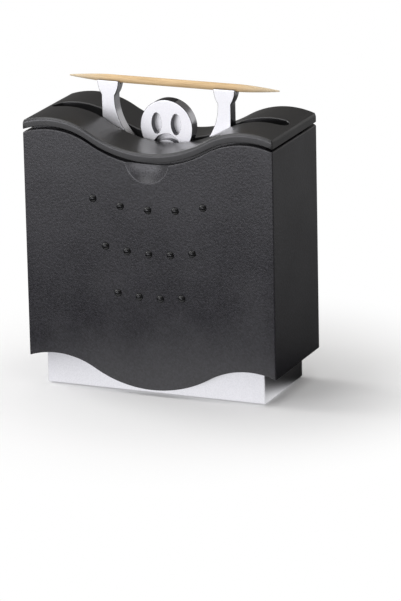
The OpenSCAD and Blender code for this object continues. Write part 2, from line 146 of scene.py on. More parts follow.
def uneven_gloss(tree, source, roughness, spread):
    """Roughness that wanders by spread to both sides as a pattern's value does."""
    ends = {"From Min": 0.3, "From Max": 0.7, "To Min": roughness - spread, "To Max": roughness + spread}
    return add(tree, "ShaderNodeMapRange", ends, {"Value": source}).outputs["Result"]


def relief(tree, source, height):
    """A normal for bumps of that height in millimetres."""
    return add(tree, "ShaderNodeBump", {"Strength": 1.0, "Distance": height * MM},
               {"Height": source}).outputs["Normal"]


print("middle grey #808080 is", round(linear("#808080")[0], 3), "in linear light")

# %% [markdown]
# ## Black ABS
# The box and the lid are ABS, a tough moulded plastic. The steel mould of the box is spark-eroded, which
# leaves a fine even grain that breaks up reflections. The lid's mould is finer, so it shines a little more.
# A noise texture pushes the surface in and out, and a second, slower one changes the gloss, as handling does.
# Real grain is about 0.15 mm wide, which is less than a pixel of the picture, so it is drawn coarser here.

# %% Moulded black plastics
HANDLED_PATCH, HANDLED_SPREAD = 18, 0.05


def moulded_abs(name, dark, light, roughness, grain, depth, specular=0.5):
    """Grained moulded plastic: grain is the width of one bump and depth its height, in millimetres."""
    made, tree, shader = new_material(name)
    place = add(tree, "ShaderNodeTexCoord").outputs["Object"]
    bumps = noise(tree, place, grain, 2.0, 0.6)
    patches = noise(tree, place, HANDLED_PATCH, 3.0)
    shader.inputs["Specular IOR Level"].default_value = specular
    connect(tree, shader, {
        "Base Color": two_tone(tree, bumps, dark, light),
        "Roughness": uneven_gloss(tree, patches, roughness, HANDLED_SPREAD),
        "Normal": relief(tree, bumps, depth),
    })
    return made


box_abs = moulded_abs("black_abs_fine_spark_grain", "#121116", "#25242A", 0.34, 0.6, 0.04, 0.85)
lid_abs = moulded_abs("black_abs_satin_moulded", "#131314", "#19191A", 0.35, 0.5, 0.005, 0.95)
inner_abs = moulded_abs("black_abs_plain_moulded", "#303032", "#38383A", 0.5, 0.9, 0.02)
stud_abs = moulded_abs("black_abs_polished", "#0B0B0D", "#0F0F11", 0.24, 0.6, 0.001)
print("plastics", [m.name for m in (box_abs, lid_abs, inner_abs, stud_abs)])

# %% [markdown]
# ## Aluminium and steel
# The figure is stamped from aluminium sheet, then bead-blasted and anodised, which gives a white satin face.
# Its cut edges stay smoother, so they mirror the dark room. A thin dark line is painted on the rounding
# between face and edge, a painted reflection of the dark room, and the walls of its eyes and mouth are painted
# dark, as painted shade. The base has the same finish, a little smoother.
# The hidden block is plain milled aluminium, and the screws, rods and washers are zinc-plated steel.
# The pits of real blasting are under 0.1 mm wide, finer than a pixel, so they are drawn coarser here.

# %% Metals
CLOUD, CLOUD_SPREAD = 9, 0.02
# The dark edge line is a painted reflection of the dark room on the rounding of the figure's edges, and the
# pocket wall colour is painted shade on the walls of its eyes and mouth, inside the circle at the height and
# radius given next.
CUT_EDGE, PAINTED_EDGE_LINE, PAINTED_POCKET_SHADE, EDGE_ROUGHNESS = "#D6D6DA", "#424246", "#505054", 0.2
EYES_AND_MOUTH_Z, EYES_AND_MOUTH_R = 77.6, 6.8
PAINTED_LINE_RANGE, FACE_RANGE = (0.1, 0.35), (0.8, 0.97)  # of how straight the surface looks to the front or the back


def edges_and_painted_shade(tree, place, colour, gloss):
    """The colour and gloss of a stamped figure: as given on its front and back, its own on its edges, a
    painted dark reflection line on the rounding between them, and painted shade on the walls of the eyes and
    mouth.
    """
    normal = add(tree, "ShaderNodeTexCoord").outputs["Normal"]
    facing = add(tree, "ShaderNodeSeparateXYZ", links={"Vector": normal}).outputs["Y"]
    flat = add(tree, "ShaderNodeMath", {"operation": "ABSOLUTE"}, {0: facing}).outputs["Value"]
    painted_line_share, on_face = share_between(tree, flat, *PAINTED_LINE_RANGE), share_between(tree, flat, *FACE_RANGE)
    centred = {"Location": (0, 0, -EYES_AND_MOUTH_Z * MM), "Scale": (1, 0, 1)}
    from_centre = add(tree, "ShaderNodeMapping", centred, {"Vector": place}).outputs["Vector"]
    away = add(tree, "ShaderNodeVectorMath", {"operation": "LENGTH"}, {0: from_centre}).outputs["Value"]
    outside = add(tree, "ShaderNodeMath", {"operation": "GREATER_THAN", 1: EYES_AND_MOUTH_R * MM}, {0: away})
    # Painted shade: inside the circle round the eyes and mouth the walls are painted dark, and outside it the
    # cut edges keep their own tone.
    walls = add(tree, "ShaderNodeMix", {"data_type": "RGBA", "A": linear(PAINTED_POCKET_SHADE), "B": linear(CUT_EDGE)},
                {"Factor": outside.outputs["Value"]}).outputs["Result"]
    # Painted reflection: a thin dark line on the rounding between face and edge.
    walls = add(tree, "ShaderNodeMix", {"data_type": "RGBA", "B": linear(PAINTED_EDGE_LINE)},
                {"Factor": painted_line_share, "A": walls}).outputs["Result"]
    colour = add(tree, "ShaderNodeMix", {"data_type": "RGBA"}, {"Factor": on_face, "A": walls, "B": colour})
    gloss = add(tree, "ShaderNodeMapRange", {"To Min": EDGE_ROUGHNESS}, {"Value": on_face, "To Max": gloss})
    return colour.outputs["Result"], gloss.outputs["Result"]


def blasted_metal(name, dark, light, roughness, grit, depth, lengthwise=1.0, stamped=False):
    """Metal with a fine even texture: grit is its width and depth its height in millimetres.
    lengthwise stretches it along X into brush lines, and the flag for a stamped figure gives it the figure's
    own cut edges, with a painted dark reflection line on their rounding and painted shade on the walls of its
    eyes and mouth."""
    made, tree, shader = new_material(name)
    place = add(tree, "ShaderNodeTexCoord").outputs["Object"]
    stretched = add(tree, "ShaderNodeMapping", {"Scale": (1 / lengthwise, 1, 1)}, {"Vector": place})
    pits = noise(tree, stretched.outputs["Vector"], grit, 3.0, 0.6)
    colour = two_tone(tree, pits, dark, light)
    gloss = uneven_gloss(tree, noise(tree, place, CLOUD, 2.0), roughness, CLOUD_SPREAD)
    # The figure's edges get their own tone and gloss, with a painted dark reflection line and painted shade in
    # the pockets.
    if stamped:
        colour, gloss = edges_and_painted_shade(tree, place, colour, gloss)
    shader.inputs["Metallic"].default_value = 1.0
    connect(tree, shader, {"Base Color": colour, "Roughness": gloss, "Normal": relief(tree, pits, depth)})
    return made


# The figure's material carries a painted dark line on its rounded edges and painted shade in its eyes and
# mouth.
figure_metal = blasted_metal("aluminium_blasted_anodised_painted_edge_shade", "#F4F4F6", "#FCFCFD", 0.42, 0.25, 0.003,
                             stamped=True)
base_metal = blasted_metal("aluminium_satin_anodised", "#ECECF0", "#F6F6FA", 0.36, 0.30, 0.003)
milled_metal = blasted_metal("aluminium_milled", "#BDBDC0", "#D2D2D5", 0.34, 0.25, 0.006, 30.0)
zinc_steel = blasted_metal("steel_zinc_plated", "#AEB0B2", "#CFD0D0", 0.28, 0.4, 0.004)
print("metals", [m.name for m in (figure_metal, base_metal, milled_metal, zinc_steel)])

# %% [markdown]
# ## Birch, acetal and rubber
# The toothpick is turned birch: pale, with thin darker fibres along its length, and paler where the cut
# fibres show at both points. A single fibre is far too fine to see, so the streaks of several are drawn.
# The bushes are natural acetal, an off-white slippery plastic, and the feet are soft black rubber with a
# dusty matte skin.

# %% Wood and the soft plastics
STREAK_W, STREAK_STRETCH, POINT_PALE_L = 0.45, 25, 14


def turned_birch(name, low_x, high_x):
    """Birch with fibres along X, paler towards the points at both ends."""
    made, tree, shader = new_material(name)
    place = add(tree, "ShaderNodeTexCoord").outputs["Object"]
    stretched = add(tree, "ShaderNodeMapping", {"Scale": (1 / STREAK_STRETCH, 1, 1)}, {"Vector": place})
    fibres = noise(tree, stretched.outputs["Vector"], STREAK_W, 4.0, 0.65)
    body = two_tone(tree, fibres, "#C9A878", "#EACB9C", 0.3, 0.7)
    along = add(tree, "ShaderNodeSeparateXYZ", links={"Vector": place}).outputs["X"]
    middle, half_length = (low_x + high_x) / 2, (high_x - low_x) / 2
    from_middle = add(tree, "ShaderNodeMath", {"operation": "SUBTRACT", 1: middle}, {0: along})
    reach = add(tree, "ShaderNodeMath", {"operation": "ABSOLUTE"}, {0: from_middle.outputs["Value"]})
    ends = {"From Min": half_length - POINT_PALE_L * MM, "From Max": half_length, "To Min": 0.0, "To Max": 0.8}
    tip = add(tree, "ShaderNodeMapRange", ends, {"Value": reach.outputs["Value"]}).outputs["Result"]
    pale = {"data_type": "RGBA", "B": linear("#D8CBB0")}
    colour = add(tree, "ShaderNodeMix", pale, {"Factor": tip, "A": body}).outputs["Result"]
    shader.inputs["Roughness"].default_value = 0.62
    connect(tree, shader, {"Base Color": colour, "Normal": relief(tree, fibres, 0.02)})
    return made


pick_low, pick_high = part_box("toothpick")
birch = turned_birch("birch_turned_unfinished", pick_low.x, pick_high.x)
acetal = moulded_abs("acetal_natural", "#D9D4C2", "#E2DDCD", 0.42, 0.8, 0.01)
rubber = moulded_abs("rubber_soft_black", "#1C1C1C", "#262626", 0.8, 0.35, 0.03)
print("others", [m.name for m in (birch, acetal, rubber)])
print("middle of the pick at", round((pick_low.x + pick_high.x) / 2 / MM, 4), "mm")

# %% [markdown]
# ## Rounded edges
# No moulded or stamped piece has a perfectly sharp edge, and the thin line of light along an edge is what
# tells the eye its material. Many of the pieces are already right in the CAD frame. A copy of such a solid is
# taken, its triangles are merged back to flat faces, and a bevel rounds every edge that is sharper than thirty
# degrees. Points that the bevel brings together are merged, and weighted normals keep the big faces flat.

# %% Copy a CAD solid with rounded edges
BEVEL_FROM, SHARP_FROM = math.radians(30), math.radians(32)
FLAT_WITHIN = math.radians(1)
SAME_POINT, MERGED_POINT = 0.001 * MM, 0.0005 * MM


def rounded_copy(node, body, width, material):
    """Dress a CAD node with a copy of its own solid, the edges rounded to width in millimetres."""
    shape = bmesh.new()
    shape.from_mesh(frame["nodes"][node].data)
    bmesh.ops.remove_doubles(shape, verts=shape.verts, dist=SAME_POINT)
    bmesh.ops.dissolve_limit(shape, angle_limit=FLAT_WITHIN, verts=shape.verts, edges=shape.edges)
    bmesh.ops.triangulate(shape, faces=[face for face in shape.faces if len(face.verts) > 4])
    mesh = bpy.data.meshes.new(node + "_mesh")
    shape.to_mesh(mesh)
    shape.free()
    dress(mesh, node, body, material, width)


def dress(mesh, node, body, material, width=0.0):
    """Make an object from a mesh, with rounded edges and a material, that rides on a body for its CAD node."""
    piece = bpy.data.objects.new(node + "_piece", mesh)
    bpy.context.scene.collection.objects.link(piece)
    mesh.materials.clear()
    mesh.materials.append(material)
    for face in mesh.polygons:
        face.use_smooth = True
    if width:
        edges = piece.modifiers.new("rounded_edges", "BEVEL")
        edges.width, edges.segments = width * MM, 2
        edges.limit_method, edges.angle_limit = "ANGLE", BEVEL_FROM
        edges.use_clamp_overlap = False
    piece.modifiers.new("merged_points", "WELD").merge_threshold = MERGED_POINT
    mesh.set_sharp_from_angle(angle=SHARP_FROM)
    piece.modifiers.new("flat_faces", "WEIGHTED_NORMAL").keep_sharp = True
    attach(piece, body)
    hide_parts(node)
    print(piece.name, "rides on", body, "with", len(mesh.polygons), "faces before its modifiers")


# %% [markdown]
# ## The wave
# The lid and both edges of the sleeve follow one wave: a wide trough in the middle and a crest near each end.
# It could be a sine or a spline. The real curve is made of circles that touch without a kink, so three numbers
# are enough to draw it: the trough's radius, where the crests stand and how high they are.

# %% Wave from circles
TROUGH_R, CREST_X, CREST_RISE = 35.0, 30.2, 8.3
CREST_R = (CREST_X ** 2 - 2 * TROUGH_R * CREST_RISE + CREST_RISE ** 2) / (2 * CREST_RISE)
TURN_X = CREST_X * TROUGH_R / (TROUGH_R + CREST_R)


def wave_at(x):
    """Height of the wave over its lowest point, in millimetres, at x from the middle."""
    if abs(x) < TURN_X:
        return TROUGH_R - math.sqrt(TROUGH_R ** 2 - x ** 2)
    return CREST_RISE - CREST_R + math.sqrt(CREST_R ** 2 - (abs(x) - CREST_X) ** 2)


print("crest radius", round(CREST_R, 3), "turning point at", round(TURN_X, 3), "mm from the middle")

# %% [markdown]
# ## Skins
# A moulded shell is a skin of even strips: every loop of points runs once round the piece, and the next loop
# lies a little further along its section. With the same number of points in each loop, joining them is simple,
# and each edge gets exactly the rounding that it needs. The stations of an outline are shares of its sides,
# so that a small outline and a large one fit together point by point.

# %% Outlines
HALF_ALONG, HALF_ACROSS = 38, 8  # strips from the middle of a side to its corner
ALONG = [i / HALF_ALONG for i in range(-HALF_ALONG, HALF_ALONG + 1)]
ACROSS = [i / HALF_ACROSS for i in range(-HALF_ACROSS, HALF_ACROSS + 1)]
CORNER_STEPS = 5
END_STEPS = 2 * CORNER_STEPS + len(ACROSS) - 1


def box_outline(half_x, half_y, radius):
    """Points of a rectangle with rounded corners, counter-clockwise from the front left, in millimetres."""
    flat_x, flat_y = half_x - radius, half_y - radius
    corner = [math.pi / 2 * i / CORNER_STEPS for i in range(1, CORNER_STEPS)]
    points = [(t * flat_x, -half_y) for t in ALONG]
    points += [(flat_x + radius * math.sin(a), -flat_y - radius * math.cos(a)) for a in corner]
    points += [(half_x, t * flat_y) for t in ACROSS]
    points += [(flat_x + radius * math.cos(a), flat_y + radius * math.sin(a)) for a in corner]
    return points + [(-x, -y) for x, y in points]


def slot_outline(half_x, half_y, centre_y):
    """Points of a slot with round ends, as many as a box outline has."""
    ends = [math.pi * i / END_STEPS for i in range(1, END_STEPS)]
    points = [(t * (half_x - half_y), -half_y) for t in ALONG]
    points += [(half_x - half_y + half_y * math.sin(a), -half_y * math.cos(a)) for a in ends]
    return [(x, y + centre_y) for x, y in points + [(-x, -y) for x, y in points]]


def rounding(radius, steps):
    """Steps round an edge from its face to its side, as distances in from the side and down from the face."""
    turns = [math.pi / 2 * i / steps for i in range(steps + 1)]
    return [(radius * (1 - math.sin(a)), radius * (1 - math.cos(a))) for a in turns]


print("points per outline", len(box_outline(2, 1, 0.1)), len(slot_outline(2, 1, 0)))

# %% [markdown]
# ## Skin and lathe
# A skin joins loops, and a lathe turns a profile round an axis, as a real toothpick is turned.
# Both take millimetres and make meshes in metres.

# %% Skin and lathe
def written(shape, name):
    """The shape as a new mesh with all faces turned outwards."""
    bmesh.ops.recalc_face_normals(shape, faces=shape.faces)
    mesh = bpy.data.meshes.new(name)
    shape.to_mesh(mesh)
    shape.free()
    return mesh


def skin(loops, closed=True):
    """A mesh from loops of equal length. It joins the last loop to the first, or else closes both ends."""
    shape = bmesh.new()
    rings = [[shape.verts.new(Vector(point) * MM) for point in loop] for loop in loops]
    for this, after in zip(rings, rings[1:] + rings[:1] if closed else rings[1:]):
        for corners in zip(this, this[1:] + this[:1], after[1:] + after[:1], after):
            shape.faces.new(corners)
    if not closed:
        shape.faces.new(rings[0][::-1])
        shape.faces.new(rings[-1])
    return written(shape, "skin")


def lathe(profile, centre, axis, steps):
    """A turned mesh from (distance along the axis, radius) pairs, closed by radius 0 at both ends."""
    axis = Vector(axis)
    side = axis.orthogonal().normalized()
    other = axis.cross(side)
    shape = bmesh.new()
    rings = []
    for along, radius in profile:
        at = Vector(centre) + along * axis
        turns = [2 * math.pi * i / steps for i in range(steps)] if radius else [0.0]
        ring = [at + radius * (math.cos(a) * side + math.sin(a) * other) for a in turns]
        rings.append([shape.verts.new(point * MM) for point in ring])
    for this, after in zip(rings, rings[1:]):
        for i in range(steps):
            j = i + 1
            corners = [this[i % len(this)], this[j % len(this)], after[j % len(after)], after[i % len(after)]]
            shape.faces.new(list(dict.fromkeys(corners)))
    return written(shape, "lathe")


print("mesh makers", [maker.__name__ for maker in (skin, lathe)])

# %% [markdown]
# ## Cutting and joining
# Holes, pockets and the lid's rim come from exact booleans, which leave closed solids. Both meshes are cut to
# triangles first, because a bent four-sided face would leave slivers where the two meet.

# %% Boolean of two meshes
def together(meshes):
    """One mesh with the separate shells of several."""
    shape = bmesh.new()
    for mesh in meshes:
        shape.from_mesh(mesh)
    joined = bpy.data.meshes.new("together")
    shape.to_mesh(joined)
    shape.free()
    return joined


def combine(mesh, other, operation):
    """An exact boolean: DIFFERENCE cuts the other mesh away, and UNION joins the two."""
    sides = []
    for part in (mesh, other):
        shape = bmesh.new()
        shape.from_mesh(part)
        bmesh.ops.triangulate(shape, faces=shape.faces)
        shape.to_mesh(part)
        shape.free()
        sides.append(bpy.data.objects.new("side", part))
        bpy.context.scene.collection.objects.link(sides[-1])
    step = sides[0].modifiers.new("boolean", "BOOLEAN")
    step.operation, step.object, step.solver = operation, sides[1], "EXACT"
    done = bpy.data.meshes.new_from_object(sides[0].evaluated_get(bpy.context.evaluated_depsgraph_get()))
    for thing in sides:
        bpy.data.objects.remove(thing)
    return done


print("mesh combiners", [combiner.__name__ for combiner in (together, combine)])

# %% [markdown]
# ## Sleeve
# The sleeve is the black box that the hand pushes down: four thin walls with no top and no floor. The walls
# are one skin that goes up outside, over the rounded upper edge and down inside, and its two ends follow the
# wave.

# %% Walls of the sleeve
sleeve_low, sleeve_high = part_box("sleeve_shell")
HALF_W, HALF_D = sleeve_high.x / MM, sleeve_high.y / MM
LOWER_TROUGH, UPPER_TROUGH = sleeve_low.z / MM, sleeve_high.z / MM - CREST_RISE
WALL, CORNER_R, LEAST_CORNER_R, TOP_EDGE, FINE_EDGE = 2.2, 0.45, 0.05, 0.4, 0.2
FINE, WIDE = 3, 5  # steps round a fine edge and round a wide one


def wave_loop(inset, level):
    """A loop round the box, at an inset from its outer walls, on the wave whose trough is at level."""
    outline = box_outline(HALF_W - inset, HALF_D - inset, max(CORNER_R - inset, LEAST_CORNER_R))
    return [(x, y, level + wave_at(x)) for x, y in outline]


loops = [wave_loop(inset, LOWER_TROUGH + rise) for inset, rise in rounding(FINE_EDGE, FINE)]
loops += [wave_loop(inset, UPPER_TROUGH - drop) for inset, drop in reversed(rounding(TOP_EDGE, WIDE))]
loops += [wave_loop(WALL - inset, UPPER_TROUGH - drop) for inset, drop in rounding(FINE_EDGE, FINE)]
loops += [wave_loop(WALL - inset, LOWER_TROUGH + rise) for inset, rise in reversed(rounding(FINE_EDGE, FINE))]
walls = skin(loops)
print(len(walls.vertices), "points in the walls, troughs at", round(LOWER_TROUGH, 2), round(UPPER_TROUGH, 2))

# %% [markdown]
# ## Thumb scoop and stud holes
# A thumb scoop is sunk in the front wall under the lid. It is cut with a shallow ball whose rim is flared, so
# its edge is soft as on a moulded piece. Small holes take the stems of the studs, which stand in three rows
# that bow like a smile.

# %% Scoop and holes in the front wall
SCOOP_R, SCOOP_DEPTH, SCOOP_RISE, SCOOP_FACETS = 6.8, 1.6, 1.5, 96
BOWL_STEP, BOWL_STEPS = 0.5, 14
FLARE = [(0.062, -0.1), (0.012, 0.1), (-0.012, 0.3), (-0.6, 0.6)]  # depth, and distance outside the scoop
STUD_R, STUD_STEM_R, STUD_OUT, STUD_DEEP = 1.15, 0.575, 0.8, 1.1
STUD_ROWS = [(5, 8.5, 13.1), (5, 6.7, 26.1), (4, 6.6, 39.1)]  # count, pitch, distance below the upper trough
STUD_BOW_R = 69.0
HOLE_PLAY, HOLE_MORE, HOLE_START, HOLE_FACETS = 0.03, 0.1, -0.3, 24

ball_r = (SCOOP_R ** 2 + SCOOP_DEPTH ** 2) / (2 * SCOOP_DEPTH)
radii = [BOWL_STEP * i for i in range(BOWL_STEPS)]
scoop = [(SCOOP_DEPTH - ball_r + math.sqrt(ball_r ** 2 - r ** 2), r) for r in radii]
scoop += [(depth, SCOOP_R + outside) for depth, outside in FLARE] + [(FLARE[-1][0], 0)]
cutters = [lathe(scoop, (0, -HALF_D, UPPER_TROUGH + SCOOP_RISE), (0, 1, 0), SCOOP_FACETS)]

stud_places = []
for count, pitch, drop in STUD_ROWS:
    for i in range(count):
        x = (i - (count - 1) / 2) * pitch
        bow = STUD_BOW_R - math.sqrt(STUD_BOW_R ** 2 - x * x)
        stud_places.append((x, -HALF_D, UPPER_TROUGH - drop + bow))
hole_r, hole_end = STUD_STEM_R + HOLE_PLAY, STUD_DEEP + HOLE_MORE
hole = [(HOLE_START, 0), (HOLE_START, hole_r), (hole_end, hole_r), (hole_end, 0)]
cutters += [lathe(hole, place, (0, 1, 0), HOLE_FACETS) for place in stud_places]
dress(combine(walls, together(cutters), "DIFFERENCE"), "sleeve_shell", "sleeve", box_abs)

# %% [markdown]
# ## Studs
# Fourteen polished studs stand on the front. They could be spheres pushed half into the wall. Each real one is
# a shallow dome on a stem, so each is turned from its profile, which gives the dome its own curve and a clean
# edge where it meets the wall.

# %% Studs
STEM_CHAMFER, DOME_EDGE, DOME_STEPS, STUD_FACETS = 0.08, 0.04, 10, 32
dome_r = (STUD_R ** 2 + STUD_OUT ** 2) / (2 * STUD_OUT)
dome_half = math.asin(STUD_R / dome_r)
stud = [(-STUD_DEEP, 0), (-STUD_DEEP, STUD_STEM_R - STEM_CHAMFER), (-STUD_DEEP + STEM_CHAMFER, STUD_STEM_R)]
stud += [(0, STUD_STEM_R), (0, STUD_R - DOME_EDGE)]
for i in range(DOME_STEPS, 0, -1):
    a = dome_half * i / DOME_STEPS
    stud.append((STUD_OUT - dome_r + dome_r * math.cos(a), dome_r * math.sin(a)))
stud.append((STUD_OUT, 0))
studs = together([lathe(stud, place, (0, -1, 0), STUD_FACETS) for place in stud_places])
dress(studs, "front_studs", "sleeve", stud_abs)

# %% [markdown]
# ## Lid
# The lid is a wavy plate with a long slot for the figure and the toothpick. The plate is one skin again: out
# along the underside, up the edge, over the wide brow, through the fine crease where the brow meets the top,
# and back to the slot's rounded lip.

# %% Plate of the lid
lid_low, lid_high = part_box("lid")
LID_T, SLOT_EDGE = 2.6, 0.3
LID_TOP = lid_high.z / MM - CREST_RISE
LID_UNDER = LID_TOP - LID_T
BROW_R, BROW_TURN, CREASE_R, CREASE_STEPS = 1.8, math.radians(34), 0.16, 4
SLOT_HALF_L, SLOT_HALF_W, SLOT_Y = 36.6, 2.8, 0.1
STRIPS_BELOW, STRIPS_ABOVE = 6, 12


def slot_loop(offset, level):
    """A loop round the slot, that much wider, on the wave whose trough is at level."""
    outline = slot_outline(SLOT_HALF_L + offset, SLOT_HALF_W + offset, SLOT_Y)
    return [(x, y, level + wave_at(x)) for x, y in outline]


def between(first, second, level, steps):
    """Loops that lead from one loop to another across a face on the wave."""
    made = []
    for share in [step / steps for step in range(1, steps)]:
        outline = [(a[0] + share * (b[0] - a[0]), a[1] + share * (b[1] - a[1])) for a, b in zip(first, second)]
        made.append([(x, y, level + wave_at(x)) for x, y in outline])
    return made


brow_in, brow_rise = BROW_R * (1 - math.cos(BROW_TURN)), BROW_R * math.sin(BROW_TURN)
brow_drop = CREASE_R * (1 - math.sin(BROW_TURN)) + brow_rise
brow = []
for a in [BROW_TURN * i / WIDE for i in range(WIDE + 1)]:
    brow.append((BROW_R * (1 - math.cos(a)), brow_drop - BROW_R * math.sin(a)))
for a in [BROW_TURN + (math.pi / 2 - BROW_TURN) * i / CREASE_STEPS for i in range(1, CREASE_STEPS + 1)]:
    brow.append((brow_in + CREASE_R * (math.cos(BROW_TURN) - math.cos(a)), CREASE_R * (1 - math.sin(a))))

lip_below = [slot_loop(offset, LID_UNDER + rise) for offset, rise in reversed(rounding(FINE_EDGE, FINE))]
edge_below = [wave_loop(inset, LID_UNDER + rise) for inset, rise in rounding(FINE_EDGE, FINE)]
edge_above = [wave_loop(inset, LID_TOP - drop) for inset, drop in brow]
lip_above = [slot_loop(offset, LID_TOP - drop) for offset, drop in rounding(SLOT_EDGE, WIDE)]
underside = between(lip_below[-1], edge_below[0], LID_UNDER, STRIPS_BELOW)
upper_side = between(edge_above[-1], lip_above[0], LID_TOP, STRIPS_ABOVE)
plate = skin(lip_below + underside + edge_below + edge_above + upper_side + lip_above)
print("plate", len(plate.vertices), "points, brow", round(brow_in, 2), "mm in", round(brow_rise, 2), "mm up")

# %% [markdown]
# ## Rim of the lid
# A thin rim below the plate drops into the sleeve and keeps the lid in its place. It is a second skin, flat at
# its bottom and wavy where it enters the plate. The slot cuts through both its ends, and then plate and rim
# are joined into one solid.

# %% Rim, and the whole lid
RIM_HALF_X, RIM_HALF_Y, RIM_T, RIM_CORNER_R = 36.1, 14.6, 1.2, 0.3
RIM_ENTERS, SLOT_PLAY = 0.8, 0.03
GAP_BELOW, GAP_ABOVE = 2, 20  # from the rim's lower edge to the ends of the slot's cutter
RIM_BOTTOM = lid_low.z / MM


def rim_loop(inset, z, wavy):
    """A loop round the rim, flat where wavy is 0 and on the wave where it is 1."""
    outline = box_outline(RIM_HALF_X - inset, RIM_HALF_Y - inset, RIM_CORNER_R)
    return [(x, y, z + wavy * wave_at(x)) for x, y in outline]


loops = [rim_loop(inset, RIM_BOTTOM + rise, 0) for inset, rise in rounding(FINE_EDGE, FINE)]
loops += [rim_loop(inset, LID_UNDER + RIM_ENTERS, 1) for inset in (0, RIM_T)]
loops += [rim_loop(RIM_T - inset, RIM_BOTTOM + rise, 0) for inset, rise in reversed(rounding(FINE_EDGE, FINE))]
gap = slot_outline(SLOT_HALF_L + SLOT_PLAY, SLOT_HALF_W + SLOT_PLAY, SLOT_Y)
gap = skin([[(x, y, z) for x, y in gap] for z in (RIM_BOTTOM - GAP_BELOW, RIM_BOTTOM + GAP_ABOVE)], False)
rim_halves = combine(skin(loops), gap, "DIFFERENCE")
dress(combine(plate, rim_halves, "UNION"), "lid", "lid", lid_abs)

# %% [markdown]
# ## Toothpick
# One wooden toothpick lies on the hands. It could be a cylinder with two cones, but a turned pick swells
# gently out of its blunt points, so its profile is a soft curve.

# %% Toothpick
PICK_L, PICK_R = (pick_high.x - pick_low.x) / MM, (pick_high.z - pick_low.z) / 2 / MM
PICK_Y, PICK_Z = (pick_low.y + pick_high.y) / 2 / MM, (pick_low.z + pick_high.z) / 2 / MM
POINT_R, POINT_L, POINT_STEPS, SWELL = 0.2, 12.0, 12, 1.45
BLUNT_R, BLUNT_L = 0.6, 0.4  # of the point's end, as shares of its radius
PICK_FACETS = 40

point = [(0, 0), (0.0, POINT_R * BLUNT_R), (POINT_R * BLUNT_L, POINT_R)]
for i in range(1, POINT_STEPS + 1):
    share = i / POINT_STEPS
    point.append((POINT_L * share, POINT_R + (PICK_R - POINT_R) * (1 - (1 - share) ** SWELL)))
profile = point + [(PICK_L - along, radius) for along, radius in reversed(point)]
pick = lathe(profile, (pick_low.x / MM, PICK_Y, PICK_Z), (1, 0, 0), PICK_FACETS)
dress(pick, "toothpick", "toothpick", birch)

# %% [markdown]
# ## Outline of the figure
# The weightlifter is stamped from one flat sheet. Its outline could be drawn again with arcs. It is already
# exact in the CAD solid, so the outline, the pockets and the screw holes are read from the solid's front and
# back faces. Points that lie closer together than the rounding can follow are left out.

# %% Outlines read from the figure's flat faces
FIGURE_EDGE, POCKET_EDGE, CRUMB = 0.22, 0.08, 0.12
SAME_LEVEL, STRAIGHT_OUT = 0.01, 0.999  # millimetres, and the least share of Y in a flat face's normal


def with_neighbours(ring):
    """Each point of a closed outline between the one before it and the one after it."""
    return list(zip(ring[-1:] + ring[:-1], ring, ring[1:] + ring[:1]))


def without_crumbs(ring):
    """The outline without the points that lie too close together for an even rounding, keeping its corners."""
    kept = list(ring)
    while True:
        trios = with_neighbours(kept)
        turns = [abs((Vector(b) - Vector(a)).angle_signed(Vector(c) - Vector(b))) for a, b, c in trios]
        crumbs = [i for i, (a, b, c) in enumerate(trios) if math.dist(b, c) < CRUMB]
        if not crumbs:
            return kept
        i, after = crumbs[0], (crumbs[0] + 1) % len(kept)
        del kept[i if turns[i] < turns[after] else after]


def flat_loops(node, side):
    """Closed outlines in X and Z millimetres of a node's outermost face towards -Y or +Y, longest first."""
    shape = bmesh.new()
    shape.from_mesh(frame["nodes"][node].data)
    bmesh.ops.remove_doubles(shape, verts=shape.verts, dist=SAME_POINT)
    end = max(side * v.co.y for v in shape.verts)
    flat = [f for f in shape.faces if f.normal.y * side > STRAIGHT_OUT]
    flat = [f for f in flat if abs(side * f.calc_center_median().y - end) < SAME_LEVEL * MM]
    inside = set(flat)
    steps = {}
    for corner in [corner for face in flat for corner in face.loops]:
        if not any(other in inside for other in corner.edge.link_faces if other != corner.face):
            steps[corner.vert] = corner.link_loop_next.vert
    found = []
    while steps:
        start = next(iter(steps))
        ring, at = [start], steps.pop(start)
        while at != start:
            ring.append(at)
            at = steps.pop(at)
        found.append(without_crumbs([(v.co.x / MM, v.co.z / MM) for v in ring]))
    shape.free()
    return sorted(found, key=len, reverse=True)


front_loops, back_loops = flat_loops("figure", -1), flat_loops("figure", 1)
print("points of the outlines", [[len(ring) for ring in face] for face in (front_loops, back_loops)])

# %% [markdown]
# ## Figure
# The outline becomes a plate with a small stamped rounding at both faces. The eyes and the mouth are sunk
# pockets with straight walls and a flat floor, the screw holes in the stem go right through, and a groove
# across the hands holds the toothpick.

# %% Figure
figure_low, figure_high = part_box("figure")
FRONT_Y, BACK_Y = figure_low.y / MM, figure_high.y / MM
FACE_DEPTH, POCKETS_ABOVE = 2.1, 60.0
LONGEST_MITRE = 2  # times the inset, at a sharp corner of the outline
BEYOND, GROOVE_PLAY, GROOVE_UP, GROOVE_HALF_L = 1, 0.03, 4, 25


def inset(ring, distance):
    """The outline moved inwards, or outwards where the distance is negative."""
    area = sum(a[0] * b[1] - b[0] * a[1] for a, b in zip(ring, ring[1:] + ring[:1]))
    moved = []
    for before, this, after in with_neighbours(ring):
        sides = [Vector((b[1] - a[1], a[0] - b[0])).normalized() for a, b in ((before, this), (this, after))]
        out = (sides[0] + sides[1]).normalized()
        reach = distance / max(out.dot(sides[0]), 1 / LONGEST_MITRE) * math.copysign(1, area)
        moved.append((this[0] - out.x * reach, this[1] - out.y * reach))
    return moved


def along_y(ring, stations):
    """A plug through one outline, with its insets at stations along Y."""
    return skin([[(x, y, z) for x, z in inset(ring, amount)] for amount, y in stations], False)


